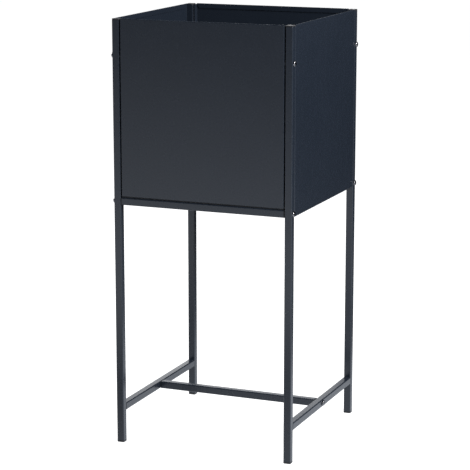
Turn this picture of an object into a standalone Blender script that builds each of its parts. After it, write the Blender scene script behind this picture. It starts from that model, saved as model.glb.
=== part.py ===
"""Raised square planter on legs, in powder-coated steel.

Two welded side frames, each with two full-height posts, a low stretcher and a flush side panel, are
joined by bolted cross members: a rail and a folded panel at the front and the back, and a crossbar
low down between the stretchers. A floor tray closes the box.

X runs left to right, Y front to back and Z up. The origin is on the floor, under the middle.
"""

import math

import bmesh
import bpy
from mathutils import Matrix

# Overall sizes
WIDTH = 0.350
DEPTH = 0.350
HEIGHT = 0.800
BOX_BOTTOM = 0.4575
STRETCHER_HEIGHT = 0.0675

# Square tube of the posts, rails, stretchers and crossbar
TUBE = 0.014
TUBE_WALL = 0.0012
TUBE_RADIUS = 0.002
TUBE_STEPS = 2

# Folded sheet
SHEET = 0.0012
BEND_RADIUS = 0.0018
BEND_STEPS = 3
FLANGE_SETBACK = 0.0015
HEM_HEIGHT = 0.0095
HEM_MITRE = 0.0045

# Gaps: TOUCH parts two pieces that are welded or rest on each other, REVEAL is the shadow gap
TOUCH = 0.0003
REVEAL = 0.0018

# Button-head bolts
BOLT_DIAMETER = 0.006
BOLT_REACH = 0.0092
BOLT_END_CHAMFER = 0.0006
HEAD_OVERHANG = 0.00225
HEAD_HEIGHT = 0.0030
HEAD_RIM = 0.0006
HEAD_LAND = 0.0007
HEAD_STEPS = 3
SOCKET_ACROSS_FLATS = 0.004
SOCKET_DEPTH = 0.0018
BOLT_CLEARANCE = 0.0003
BOLT_SIDES = 16
UPPER_BOLT_DROP = 0.067

# Threaded pieces that the bolts screw into
RIVET_WALL = 0.0012
RIVET_LIP = 0.00125
RIVET_BARREL_LENGTH = 0.0105
RIVET_SIDES = 16
PLUG_LENGTH = 0.020

# End caps and feet of the posts
CAP_THICKNESS = 0.0025
FOOT_THICKNESS = 0.0030
STEM_LENGTH = 0.012
RIM_BEVEL = 0.0008
RIM_STEPS = 2

# Floor tray
FLOOR_SIDE_CLEARANCE = 0.0005
DRAIN_DIAMETER = 0.008
DRAIN_PITCH = 0.180

# Places worked out from the sizes above
POST_X = (WIDTH - TUBE) / 2
POST_Y = (DEPTH - TUBE) / 2
CLEAR_X = WIDTH - 2 * TUBE
CLEAR_Y = DEPTH - 2 * TUBE
RAIL_LENGTH = CLEAR_X - 2 * REVEAL
RAIL_Z = BOX_BOTTOM + TUBE / 2
PANEL_BOTTOM = BOX_BOTTOM + TUBE + REVEAL
UPPER_BOLT_Z = HEIGHT - UPPER_BOLT_DROP
LIP_HEIGHT = PANEL_BOTTOM - BOX_BOTTOM + SHEET
FLANGE = TUBE - FLANGE_SETBACK
COLLAR = REVEAL - 2 * TOUCH
BOLT_RADIUS = BOLT_DIAMETER / 2
BORE_RADIUS = BOLT_RADIUS + BOLT_CLEARANCE
BOLT_LENGTH = TUBE + REVEAL + BOLT_REACH
HEAD_RADIUS = BOLT_RADIUS + HEAD_OVERHANG
SOCKET_RADIUS = SOCKET_ACROSS_FLATS / math.sqrt(3)
BARREL_RADIUS = BORE_RADIUS + RIVET_WALL
SIDES = {"left": -1, "right": 1}
ENDS = {"front": -1, "back": 1}

# Turns that lay a piece built along +Z
ALONG_X = (0, math.pi / 2, 0)
ALONG_Y = (-math.pi / 2, 0, 0)
ALONG_Z = (0, 0, 0)
UPSIDE_DOWN = (math.pi, 0, 0)


def clear_scene():
    """Remove every object of the startup scene."""
    for obj in list(bpy.data.objects):
        bpy.data.objects.remove(obj, do_unlink=True)


def make_material(name, colour, roughness, metallic):
    """Return a Principled material."""
    material = bpy.data.materials.new(name)
    material.use_nodes = True
    shader = material.node_tree.nodes["Principled BSDF"]
    shader.inputs["Base Color"].default_value = (*colour, 1)
    shader.inputs["Roughness"].default_value = roughness
    shader.inputs["Metallic"].default_value = metallic
    material.diffuse_color = (*colour, 1)
    return material


def finish_mesh(bm, name):
    """Turn all faces outwards, shade the round stretches smooth and return the mesh."""
    bmesh.ops.remove_doubles(bm, verts=bm.verts, dist=1e-7)
    bmesh.ops.recalc_face_normals(bm, faces=bm.faces)
    if bm.calc_volume(signed=True) < 0:
        bmesh.ops.reverse_faces(bm, faces=bm.faces)
    mesh = bpy.data.meshes.new(name)
    bm.to_mesh(mesh)
    bm.free()
    mesh.shade_smooth()
    mesh.set_sharp_from_angle(angle=math.radians(35))
    return mesh


def place(name, mesh, material, location=(0, 0, 0), rotation=ALONG_Z):
    """Put a mesh in the scene as a named sub-part with its material, under the planter's empty."""
    obj = bpy.data.objects.new(name, mesh)
    obj.data.materials.clear()
    obj.data.materials.append(material)
    obj.location = location
    obj.rotation_euler = rotation
    obj.parent = bpy.data.objects["planter"]
    bpy.context.scene.collection.objects.link(obj)
    return obj


def cut(obj, cutters):
    """Take the cutters' shapes out of a sub-part."""
    for cutter in cutters:
        modifier = obj.modifiers.new(cutter.name, "BOOLEAN")
        modifier.operation = "DIFFERENCE"
        modifier.solver = "EXACT"
        modifier.object = cutter


def hide_cutter(name, bm, location, rotation):
    """Put a cutter in place, kept out of the render and drawn as wires."""
    cutter = place(name, finish_mesh(bm, name), bpy.data.materials["hardware"], location, rotation)
    cutter.hide_render = True
    cutter.display_type = "WIRE"
    return cutter


def round_cutter(name, radius, location, rotation, length):
    """Return a hidden round cutter centred on a place."""
    bm = bmesh.new()
    bmesh.ops.create_cone(
        bm, cap_ends=True, segments=BOLT_SIDES, radius1=radius, radius2=radius, depth=length
    )
    return hide_cutter(name, bm, location, rotation)


def socket_cutter(name, location, rotation):
    """Return a hidden hexagonal cutter that sinks the socket of a bolt whose head starts at a place."""
    bm = bmesh.new()
    bmesh.ops.create_cone(
        bm,
        cap_ends=True,
        segments=6,
        radius1=SOCKET_RADIUS,
        radius2=SOCKET_RADIUS,
        depth=HEAD_HEIGHT,
    )
    floor = HEAD_HEIGHT - SOCKET_DEPTH
    bmesh.ops.translate(bm, verts=bm.verts, vec=(0, 0, floor + HEAD_HEIGHT / 2))
    return hide_cutter(name, bm, location, rotation)


def rounded_square(bm, side, radius):
    """Add one flat face at z = 0, square with round corners, and return it."""
    corners = bmesh.ops.create_grid(bm, x_segments=1, y_segments=1, size=side / 2)["verts"]
    bmesh.ops.bevel(
        bm,
        geom=corners,
        offset=radius,
        segments=TUBE_STEPS,
        profile=0.5,
        affect="VERTICES",
    )
    return bm.faces[:][0]


def extrude(bm, faces, move, closes=False):
    """Extrude faces by a vector and return the moved ones. What is left behind stays only if it closes."""
    moved = bmesh.ops.extrude_face_region(bm, geom=faces)["geom"]
    if not closes:
        bmesh.ops.delete(bm, geom=faces, context="FACES_ONLY")
    points = [item for item in moved if isinstance(item, bmesh.types.BMVert)]
    bmesh.ops.translate(bm, verts=points, vec=move)
    return [item for item in moved if isinstance(item, bmesh.types.BMFace)]


def tube_mesh(name, length):
    """Square tube with round corners, open at both ends and centred on the origin along Z."""
    bm = bmesh.new()
    face = rounded_square(bm, TUBE, TUBE_RADIUS)
    ring = bmesh.ops.inset_region(
        bm, faces=[face], thickness=TUBE_WALL, use_even_offset=True, use_boundary=True
    )
    bmesh.ops.delete(bm, geom=[face], context="FACES_ONLY")
    extrude(bm, ring["faces"], (0, 0, length), closes=True)
    bmesh.ops.translate(bm, verts=bm.verts, vec=(0, 0, -length / 2))
    return finish_mesh(bm, name)


def stopper(thickness, stem_length):
    """End stopper of a tube: a plate as wide as the tube and, above it, a stem that fits inside.

    The plate's outer face is at z = 0.
    """
    bm = bmesh.new()
    plate = rounded_square(bm, TUBE, TUBE_RADIUS)
    top = extrude(bm, [plate], (0, 0, thickness), closes=True)
    bmesh.ops.inset_region(bm, faces=top, thickness=TUBE_WALL + TOUCH, use_even_offset=True)
    extrude(bm, top, (0, 0, stem_length))
    return bm


def plastic_stopper_mesh(name, thickness):
    """Cap or foot of a post: a stopper with a rounded rim."""
    bm = stopper(thickness, STEM_LENGTH)
    rim = [e for e in bm.edges if all(abs(v.co.z) < TOUCH / 10 for v in e.verts)]
    bmesh.ops.bevel(
        bm,
        geom=rim,
        offset=RIM_BEVEL,
        segments=RIM_STEPS,
        profile=0.5,
        affect="EDGES",
        material=-1,
    )
    return finish_mesh(bm, name)


def end_plug_mesh(name):
    """Threaded end plug of a rail: a stopper that fills the shadow gap with its plate."""
    return finish_mesh(stopper(COLLAR, PLUG_LENGTH), name)


def turned_mesh(name, profile, sides):
    """Closed round solid from (radius, z) points that start and end on the Z axis."""
    bm = bmesh.new()
    points = [bm.verts.new((radius, 0, z)) for radius, z in profile]
    edges = [bm.edges.new(pair) for pair in zip(points, points[1:])]
    bmesh.ops.spin(
        bm,
        geom=points + edges,
        cent=(0, 0, 0),
        axis=(0, 0, 1),
        angle=2 * math.pi,
        steps=sides,
        use_merge=True,
    )
    return finish_mesh(bm, name)


def bolt_mesh(name):
    """Button-head bolt: its head stands above z = 0, its shank runs down, and its socket is cut later."""
    land = SOCKET_RADIUS + HEAD_LAND
    profile = [(0, -BOLT_LENGTH), (BOLT_RADIUS - BOLT_END_CHAMFER, -BOLT_LENGTH)]
    profile += [(BOLT_RADIUS, BOLT_END_CHAMFER - BOLT_LENGTH), (BOLT_RADIUS, 0), (HEAD_RADIUS, 0)]
    for step in range(HEAD_STEPS + 1):
        angle = math.pi / 2 * step / HEAD_STEPS
        radius = land + (HEAD_RADIUS - land) * math.cos(angle)
        profile.append((radius, HEAD_RIM + (HEAD_HEIGHT - HEAD_RIM) * math.sin(angle)))
    profile.append((0, HEAD_HEIGHT))
    return turned_mesh(name, profile, BOLT_SIDES)


def rivet_nut_mesh(name):
    """Rivet nut: a collar whose outer face is at z = 0 and a barrel that runs up through the flange."""
    collar = BARREL_RADIUS + RIVET_LIP
    top = COLLAR + RIVET_BARREL_LENGTH
    profile = [(0, 0), (collar, 0), (collar, COLLAR), (BARREL_RADIUS, COLLAR)]
    profile += [(BARREL_RADIUS, top), (0, top)]
    return turned_mesh(name, profile, RIVET_SIDES)


def thicken(bm):
    """Give an outer skin the sheet's thickness, on its inner side."""
    bmesh.ops.recalc_face_normals(bm, faces=bm.faces)
    bmesh.ops.solidify(bm, geom=bm.faces[:], thickness=SHEET)


def panel_mesh(name, width, height):
    """Folded panel: its outer face is at y = 0, its bottom at z = 0, and its flanges run along +Y.

    The two ends and the bottom have flanges. The top edge is folded over into a hem on the inside.
    """
    bm = bmesh.new()
    size = Matrix.Diagonal((width, FLANGE, height, 1))
    centre = Matrix.Translation((0, FLANGE / 2, height / 2))
    bmesh.ops.create_cube(bm, size=1, matrix=centre @ size)
    bm.normal_update()
    opened = [f for f in bm.faces if f.normal.y > 0.5 or f.normal.z > 0.5]
    bmesh.ops.delete(bm, geom=opened, context="FACES_ONLY")
    loose = [e for e in bm.edges if not e.link_faces]
    bmesh.ops.delete(bm, geom=loose, context="EDGES")
    bends = [e for e in bm.edges if len(e.link_faces) == 2]
    bmesh.ops.bevel(
        bm,
        geom=bends,
        offset=BEND_RADIUS,
        segments=BEND_STEPS,
        profile=0.5,
        affect="EDGES",
        material=-1,
    )
    thicken(bm)
    fold_hem(bm, height)
    return finish_mesh(bm, name)


def fold_hem(bm, height):
    """Double the top strip of a panel's inner face, with mitred ends."""
    bmesh.ops.recalc_face_normals(bm, faces=bm.faces)
    inner = max((f for f in bm.faces if f.normal.y > 0.9), key=lambda f: f.calc_area())
    line = height - HEM_HEIGHT
    bmesh.ops.bisect_plane(
        bm,
        geom=[inner, *inner.edges, *inner.verts],
        plane_co=(0, 0, line),
        plane_no=(0, 0, 1),
    )
    inward = [f for f in bm.faces if f.normal.y > 0.9]
    strip = max((f for f in inward if f.calc_center_median().z > line), key=lambda f: f.calc_area())
    for point in strip.verts:
        if point.co.z < line + TOUCH:
            point.co.x -= math.copysign(HEM_MITRE, point.co.x)
    extrude(bm, [strip], (0, SHEET, 0))


def at_a_post(face, x_limit, y_limit):
    """Tell whether a face of the floor's grid lies beyond both limits, where a post stands."""
    middle = face.calc_center_median()
    return abs(middle.x) > x_limit and abs(middle.y) > y_limit


def floor_mesh(name):
    """Floor tray: a sheet notched round the posts, with a lip down each side. Its top is at z = 0."""
    reach_x = WIDTH / 2 - SHEET - TOUCH
    reach_y = DEPTH / 2 - SHEET - TOUCH
    notch = REVEAL + SHEET + FLOOR_SIDE_CLEARANCE
    narrow_x = CLEAR_X / 2 - notch
    narrow_y = CLEAR_Y / 2 - notch
    bm = bmesh.new()
    bmesh.ops.create_grid(bm, x_segments=3, y_segments=3, size=1)
    for point in bm.verts:
        x_reach = reach_x if abs(point.co.x) > 0.5 else narrow_x
        y_reach = reach_y if abs(point.co.y) > 0.5 else narrow_y
        point.co.x = math.copysign(x_reach, point.co.x)
        point.co.y = math.copysign(y_reach, point.co.y)
    corners = [f for f in bm.faces if at_a_post(f, narrow_x, narrow_y)]
    bmesh.ops.delete(bm, geom=corners, context="FACES")
    sides = [e for e in bm.edges if all(abs(v.co.x) > narrow_x + TOUCH for v in e.verts)]
    lips = bmesh.ops.extrude_edge_only(bm, edges=sides)["geom"]
    points = [item for item in lips if isinstance(item, bmesh.types.BMVert)]
    bmesh.ops.translate(bm, verts=points, vec=(0, 0, -LIP_HEIGHT))
    bmesh.ops.bevel(
        bm,
        geom=sides,
        offset=BEND_RADIUS,
        segments=BEND_STEPS,
        profile=0.5,
        affect="EDGES",
        material=-1,
    )
    thicken(bm)
    return finish_mesh(bm, name)


def build_side_frame(side):
    """One welded side frame: two posts with their caps and feet, the stretcher and the side panel."""
    sign = SIDES[side]
    coat = bpy.data.materials["powder_coat"]
    plastic = bpy.data.materials["plastic"]
    length = HEIGHT - CAP_THICKNESS - FOOT_THICKNESS - 2 * TOUCH
    middle = (HEIGHT - CAP_THICKNESS + FOOT_THICKNESS) / 2
    for end, depth_sign in ENDS.items():
        corner = f"{end}_{side}"
        x = sign * POST_X
        y = depth_sign * POST_Y
        post = place(f"{corner}_post", tube_mesh("post", length), coat, (x, y, middle))
        cut(post, [bpy.data.objects[f"upper_bore_{end}"], bpy.data.objects[f"lower_bore_{end}"]])
        cap = plastic_stopper_mesh("cap", CAP_THICKNESS)
        place(f"{corner}_cap", cap, plastic, (x, y, HEIGHT), UPSIDE_DOWN)
        foot = plastic_stopper_mesh("foot", FOOT_THICKNESS)
        place(f"{corner}_foot", foot, plastic, (x, y, 0))
    stretcher = tube_mesh("stretcher", CLEAR_Y - 2 * TOUCH)
    stretcher = place(
        f"{side}_stretcher", stretcher, coat, (sign * POST_X, 0, STRETCHER_HEIGHT), ALONG_Y
    )
    cut(stretcher, [bpy.data.objects["crossbar_bore"]])
    panel = panel_mesh("side_panel", CLEAR_Y - 2 * TOUCH, HEIGHT - BOX_BOTTOM)
    place(
        f"{side}_panel", panel, coat, (sign * WIDTH / 2, 0, BOX_BOTTOM), (0, 0, sign * math.pi / 2)
    )


def build_cross_members(end):
    """The rail and the folded panel that join the side frames at the front or at the back."""
    sign = ENDS[end]
    coat = bpy.data.materials["powder_coat"]
    rail = tube_mesh("rail", RAIL_LENGTH)
    place(f"{end}_rail", rail, coat, (0, sign * POST_Y, RAIL_Z), ALONG_X)
    panel = panel_mesh("end_panel", RAIL_LENGTH, HEIGHT - PANEL_BOTTOM)
    turn = (0, 0, 0 if sign < 0 else math.pi)
    panel = place(f"{end}_panel", panel, coat, (0, sign * DEPTH / 2, PANEL_BOTTOM), turn)
    cut(panel, [bpy.data.objects[f"rivet_bore_{end}"]])


def build_crossbar():
    """The low bar between the middles of the two stretchers."""
    coat = bpy.data.materials["powder_coat"]
    bar = tube_mesh("crossbar", RAIL_LENGTH)
    place("crossbar", bar, coat, (0, 0, STRETCHER_HEIGHT), ALONG_X)


def build_floor():
    """The floor tray, lying on the bottom flanges of the four panels, with five drain holes."""
    top = PANEL_BOTTOM + 2 * SHEET + TOUCH
    coat = bpy.data.materials["powder_coat"]
    floor = place("floor_tray", floor_mesh("floor_tray"), coat, (0, 0, top))
    spots = [(0, 0)]
    spots += [(x * DRAIN_PITCH / 2, y * DRAIN_PITCH / 2) for x in (-1, 1) for y in (-1, 1)]
    drains = []
    for number, (x, y) in enumerate(spots, 1):
        place_at = (x, y, top - SHEET / 2)
        name = f"drain_{number}"
        drains.append(round_cutter(name, DRAIN_DIAMETER / 2, place_at, ALONG_Z, 3 * SHEET))
    cut(floor, drains)


def build_fastening(name, side, y, z, threaded, bore):
    """One bolt through a post or a stretcher, and the threaded piece that it screws into."""
    sign = SIDES[side]
    steel = bpy.data.materials["hardware"]
    outwards = (0, sign * math.pi / 2, 0)
    inwards = (0, -sign * math.pi / 2, 0)
    head_x = sign * (WIDTH / 2 + TOUCH)
    bolt = place(f"{name}_bolt", bolt_mesh("bolt"), steel, (head_x, y, z), outwards)
    cut(bolt, [socket_cutter(f"{name}_socket", (head_x, y, z), outwards)])
    collar_x = sign * (CLEAR_X / 2 - TOUCH)
    mesh = rivet_nut_mesh(threaded) if threaded == "rivet_nut" else end_plug_mesh(threaded)
    nut = place(f"{name}_{threaded}", mesh, steel, (collar_x, y, z), inwards)
    cut(nut, [bore])


def main():
    """Build the planter."""
    clear_scene()
    planter = bpy.data.objects.new("planter", None)
    bpy.context.scene.collection.objects.link(planter)
    make_material("powder_coat", (0.030, 0.037, 0.048), 0.45, 0.0)
    make_material("plastic", (0.020, 0.022, 0.026), 0.50, 0.0)
    make_material("hardware", (0.060, 0.062, 0.066), 0.35, 1.0)

    through = 2 * WIDTH
    rivet_hole = BARREL_RADIUS + TOUCH
    for end, sign in ENDS.items():
        y = sign * POST_Y
        round_cutter(f"upper_bore_{end}", BORE_RADIUS, (0, y, UPPER_BOLT_Z), ALONG_X, through)
        round_cutter(f"lower_bore_{end}", BORE_RADIUS, (0, y, RAIL_Z), ALONG_X, through)
        round_cutter(f"rivet_bore_{end}", rivet_hole, (0, y, UPPER_BOLT_Z), ALONG_X, through)
    round_cutter("crossbar_bore", BORE_RADIUS, (0, 0, STRETCHER_HEIGHT), ALONG_X, through)

    for side in SIDES:
        build_side_frame(side)
    for end in ENDS:
        build_cross_members(end)
    build_crossbar()
    build_floor()

    bores = bpy.data.objects
    for side in SIDES:
        for end, sign in ENDS.items():
            y = sign * POST_Y
            corner = f"{end}_{side}"
            upper = bores[f"upper_bore_{end}"]
            lower = bores[f"lower_bore_{end}"]
            build_fastening(f"{corner}_upper", side, y, UPPER_BOLT_Z, "rivet_nut", upper)
            build_fastening(f"{corner}_lower", side, y, RAIL_Z, "end_plug", lower)
        low_bore = bores["crossbar_bore"]
        build_fastening(f"{side}_crossbar", side, 0, STRETCHER_HEIGHT, "end_plug", low_bore)


main()
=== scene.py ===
"""Raised square planter on legs, in satin powder-coated steel.

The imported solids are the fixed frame. Every piece here takes its place from them and gives them their
finer shape: rounded tube, folded sheet with a hemmed top edge, moulded caps and feet, and
button-head bolts with their rivet nuts. X runs left to right, Y front to back and Z up, in metres.
"""

import logging
import math
from dataclasses import dataclass, field
from enum import Enum

import bmesh
import bpy
from mathutils import Matrix, Vector


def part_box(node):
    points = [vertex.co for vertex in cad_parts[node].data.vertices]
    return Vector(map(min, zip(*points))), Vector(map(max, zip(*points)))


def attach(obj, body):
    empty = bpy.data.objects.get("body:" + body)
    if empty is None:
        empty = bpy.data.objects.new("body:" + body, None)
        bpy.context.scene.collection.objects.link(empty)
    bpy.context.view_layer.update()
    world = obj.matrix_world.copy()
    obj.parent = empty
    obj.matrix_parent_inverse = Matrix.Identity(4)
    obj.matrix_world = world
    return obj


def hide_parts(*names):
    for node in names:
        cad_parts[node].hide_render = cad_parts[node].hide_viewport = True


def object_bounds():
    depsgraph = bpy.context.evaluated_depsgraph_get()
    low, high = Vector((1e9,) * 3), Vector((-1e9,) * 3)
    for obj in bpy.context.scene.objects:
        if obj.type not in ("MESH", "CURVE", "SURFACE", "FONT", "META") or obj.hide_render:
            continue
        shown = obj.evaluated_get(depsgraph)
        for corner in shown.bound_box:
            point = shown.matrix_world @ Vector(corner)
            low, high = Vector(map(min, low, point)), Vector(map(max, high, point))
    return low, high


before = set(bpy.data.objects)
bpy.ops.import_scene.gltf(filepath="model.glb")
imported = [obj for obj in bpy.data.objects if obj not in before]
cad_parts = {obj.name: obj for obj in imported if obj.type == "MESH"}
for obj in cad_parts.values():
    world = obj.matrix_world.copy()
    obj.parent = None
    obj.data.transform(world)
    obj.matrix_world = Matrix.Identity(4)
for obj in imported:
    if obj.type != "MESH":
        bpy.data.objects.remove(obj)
CAD_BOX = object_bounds()
LOG = logging.getLogger("planter")

BODY = "root"
TINY = 1e-6

# Angle in degrees above which an edge stays crisp
CRISP = 40

# Segments of an eased cut edge, of a moulded or sawn corner, and round a drilled hole
EASED_STEPS = 2
CORNER_STEPS = 8
HOLE_SIDES = 48

# Angles in degrees from which an edge counts as a cut edge of sheet, and as a sawn end of tube
CUT_EDGE = 60
SAWN_END = 80

# Part of a normal along an axis from which a face counts as square to it
SQUARE_ON = 0.99

# Lengths of the cutters that go through a tube and through a flange
THROUGH_TUBE = 0.030
THROUGH_FLANGE = 0.016


class Side(Enum):
    """The two welded side frames, by the sign of X."""

    LEFT = -1
    RIGHT = 1

    @property
    def label(self) -> str:
        """Word for this side in node names."""
        return self.name.lower()


class End(Enum):
    """The front and the back of the planter, by the sign of Y."""

    FRONT = -1
    BACK = 1

    @property
    def label(self) -> str:
        """Word for this end in node names."""
        return self.name.lower()


class Slot(Enum):
    """Names of the material slots."""

    COAT = "powder_coat"
    PLASTIC = "plastic"
    STEEL = "hardware"


class Turn(Enum):
    """Turns that lay a piece built along +Z."""

    ALONG_X = Matrix.Rotation(math.pi / 2, 4, "Y")
    ALONG_Y = Matrix.Rotation(-math.pi / 2, 4, "X")
    ALONG_Z = Matrix.Identity(4)


@dataclass(frozen=True)
class Box:
    """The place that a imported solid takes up.

    Args:
        low: Its lowest corner.
        high: Its highest corner.
    """

    low: Vector
    high: Vector

    @classmethod
    def of(cls, node: str) -> "Box":
        """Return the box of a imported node."""
        return cls(*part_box(node))

    @property
    def centre(self) -> Vector:
        """Middle of the box."""
        return (self.low + self.high) / 2

    @property
    def size(self) -> Vector:
        """Lengths of the box's sides."""
        return self.high - self.low


# Metalwork: bmesh steps that the pieces share


class Blank:
    """A piece of stock on the bench: a bmesh with the few steps that shape it."""

    def __init__(self) -> None:
        """Start with an empty mesh."""
        self.bm = bmesh.new()

    def points(self, geometry: list) -> list:
        """Return the vertices among the results of an operator."""
        return [item for item in geometry if isinstance(item, bmesh.types.BMVert)]

    def faces(self, geometry: list) -> list:
        """Return the faces among the results of an operator."""
        return [item for item in geometry if isinstance(item, bmesh.types.BMFace)]

    def rounded_square(self, side: float, radius: float, steps: int) -> bmesh.types.BMFace:
        """Add one flat face at z = 0, square with round corners.

        Args:
            side: Width over the flats.
            radius: Radius of the corners.
            steps: Segments in each corner.

        Returns:
            The face.
        """
        corners = bmesh.ops.create_grid(self.bm, x_segments=1, y_segments=1, size=side / 2)["verts"]
        bmesh.ops.bevel(
            self.bm,
            geom=corners,
            offset=radius,
            segments=steps,
            profile=0.5,
            affect="VERTICES",
            material=-1,
        )
        return self.bm.faces[:][0]

    def extrude(self, faces: list, move: tuple, closes: bool = False) -> list:
        """Extrude faces by a vector.

        Args:
            faces: Faces to move.
            move: How far they move.
            closes: True if the faces left behind close the shape, and so stay.

        Returns:
            The moved faces.
        """
        moved = bmesh.ops.extrude_face_region(self.bm, geom=faces)["geom"]
        if not closes:
            bmesh.ops.delete(self.bm, geom=faces, context="FACES_ONLY")
        bmesh.ops.translate(self.bm, verts=self.points(moved), vec=move)
        return self.faces(moved)

    def extrude_edges(self, edges: list, move: tuple) -> list:
        """Extrude edges by a vector.

        Args:
            edges: Edges to move.
            move: How far they move.

        Returns:
            The moved vertices.
        """
        moved = bmesh.ops.extrude_edge_only(self.bm, edges=edges)["geom"]
        points = self.points(moved)
        bmesh.ops.translate(self.bm, verts=points, vec=move)
        return points

    def round_over(self, edges: list, radius: float, steps: int) -> None:
        """Round edges over.

        Args:
            edges: Edges to round.
            radius: Radius of the round.
            steps: Segments across it.
        """
        bmesh.ops.bevel(
            self.bm,
            geom=edges,
            offset=radius,
            segments=steps,
            profile=0.5,
            affect="EDGES",
            material=-1,
        )

    def turn(self, profile: list, steps: int, closed: bool = False) -> None:
        """Spin an outline round the Z axis into a closed solid.

        Args:
            profile: Its (radius, z) points.
            steps: Segments round the axis.
            closed: True if the last point joins the first, clear of the axis.
        """
        points = [self.bm.verts.new((radius, 0, z)) for radius, z in profile]
        ends = points[1:] + (points[:1] if closed else [])
        edges = [self.bm.edges.new(pair) for pair in zip(points, ends)]
        bmesh.ops.spin(
            self.bm,
            geom=points + edges,
            cent=(0, 0, 0),
            axis=(0, 0, 1),
            angle=2 * math.pi,
            steps=steps,
            use_merge=True,
        )

    def face_out(self) -> None:
        """Merge doubles and turn every face outwards."""
        bmesh.ops.remove_doubles(self.bm, verts=self.bm.verts, dist=TINY)
        bmesh.ops.recalc_face_normals(self.bm, faces=self.bm.faces)
        if self.bm.calc_volume(signed=True) < 0:
            bmesh.ops.reverse_faces(self.bm, faces=self.bm.faces)

    def thicken(self, thickness: float) -> None:
        """Give an outer skin its thickness, on its inner side."""
        bmesh.ops.recalc_face_normals(self.bm, faces=self.bm.faces)
        bmesh.ops.solidify(self.bm, geom=self.bm.faces[:], thickness=thickness)

    def place(self, turn: Matrix, spot: Vector) -> "Blank":
        """Turn the mesh and move it to its spot."""
        bmesh.ops.transform(self.bm, matrix=Matrix.Translation(spot) @ turn, verts=self.bm.verts)
        return self

    def to_object(self, name: str) -> bpy.types.Object:
        """Put the mesh in the scene as an object.

        Args:
            name: Name of the object and of its mesh.

        Returns:
            The object.
        """
        self.face_out()
        mesh = bpy.data.meshes.new(name)
        self.bm.to_mesh(mesh)
        self.bm.free()
        obj = bpy.data.objects.new(name, mesh)
        bpy.context.scene.collection.objects.link(obj)
        return obj


def cut(obj: bpy.types.Object, cutters: list) -> None:
    """Take the cutters' shapes out of a piece, and remove the cutters.

    Args:
        obj: The piece.
        cutters: Closed objects.
    """
    for cutter in cutters:
        modifier = obj.modifiers.new(cutter.name, "BOOLEAN")
        modifier.operation = "DIFFERENCE"
        modifier.solver = "EXACT"
        modifier.object = cutter
    bpy.context.view_layer.update()
    graph = bpy.context.evaluated_depsgraph_get()
    mesh = bpy.data.meshes.new_from_object(obj.evaluated_get(graph))
    obj.modifiers.clear()
    old = obj.data
    obj.data = mesh
    bpy.data.meshes.remove(old)
    mesh.name = obj.name
    for cutter in cutters:
        bpy.data.objects.remove(cutter, do_unlink=True)


def drill(name: str, radius: float, length: float, turn: Turn, spot: Vector) -> bpy.types.Object:
    """Return a round cutter.

    Args:
        name: Its name, until it is used.
        radius: Radius of the hole.
        length: Length of the cutter.
        turn: The way it lies.
        spot: Its middle.

    Returns:
        The cutter.
    """
    blank = Blank()
    bmesh.ops.create_cone(
        blank.bm, cap_ends=True, segments=HOLE_SIDES, radius1=radius, radius2=radius, depth=length
    )
    return blank.place(turn.value, spot).to_object(name)


def hand_in(
    obj: bpy.types.Object, material: bpy.types.Material, node: str | None = None
) -> None:
    """Finish a piece: shading, material, the body that it rides on and the node that it stands for.

    Args:
        obj: The piece.
        material: Its finish.
        node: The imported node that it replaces, if it isn't an extra.
    """
    mesh = obj.data
    mesh.materials.clear()
    mesh.materials.append(material)
    mesh.shade_smooth()
    mesh.set_sharp_from_angle(angle=math.radians(CRISP))
    flats = obj.modifiers.new("flat_faces", "WEIGHTED_NORMAL")
    flats.mode = "FACE_AREA"
    flats.keep_sharp = True
    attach(obj, BODY)
    if node:
        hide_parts(node)
    LOG.info("%s: %d faces, stands for %s", obj.name, len(mesh.polygons), node or "no node")


# Finishes


class Graph:
    """A node tree that is wired by short calls."""

    def __init__(self, tree: bpy.types.NodeTree) -> None:
        """Work on this tree."""
        self.tree = tree

    def add(self, kind: str, inputs: dict | None = None, **settings: object) -> bpy.types.Node:
        """Add a node.

        Args:
            kind: Its type, without the leading ShaderNode.
            inputs: A value, or a socket to link, for each input name or number.
            settings: Attributes of the node.

        Returns:
            The node.
        """
        node = self.tree.nodes.new(f"ShaderNode{kind}")
        for name, value in settings.items():
            setattr(node, name, value)
        for name, value in (inputs or {}).items():
            if isinstance(value, bpy.types.NodeSocket):
                self.link(value, node.inputs[name])
            else:
                node.inputs[name].default_value = value
        return node

    def math(self, operation: str, *values: object, clamp: bool = False) -> bpy.types.NodeSocket:
        """Add a Math node and return its output."""
        inputs = dict(enumerate(values))
        return self.add("Math", inputs, operation=operation, use_clamp=clamp).outputs[0]

    def mix(self, share: object, low: object, high: object) -> bpy.types.NodeSocket:
        """Mix two colours by a share, through the Mix node's colour sockets, and return the colour."""
        return self.add("Mix", {0: share, 6: low, 7: high}, data_type="RGBA").outputs[2]

    def link(self, value: bpy.types.NodeSocket, socket: bpy.types.NodeSocket) -> None:
        """Link an output to an input."""
        self.tree.links.new(value, socket)

    def span(
        self, value: object, low: float, high: float, to_low: object = 0.0, to_high: object = 1.0
    ) -> bpy.types.NodeSocket:
        """Map a value from one span to another, smoothly and clamped.

        Args:
            value: The value.
            low: Where its span starts.
            high: Where its span ends.
            to_low: What it gives at and below the start.
            to_high: What it gives at and past the end.

        Returns:
            The socket with the result.
        """
        inputs = {0: value, 1: low, 2: high, 3: to_low, 4: to_high}
        node = self.add("MapRange", inputs, interpolation_type="SMOOTHSTEP")
        return node.outputs[0]

    def noise(self, vector: object, scale: object, detail: float, rough: float = 0.5) -> object:
        """Add a noise texture and return its value."""
        inputs = {"Vector": vector, "Scale": scale, "Detail": detail, "Roughness": rough}
        return self.add("TexNoise", inputs).outputs[0]


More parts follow.
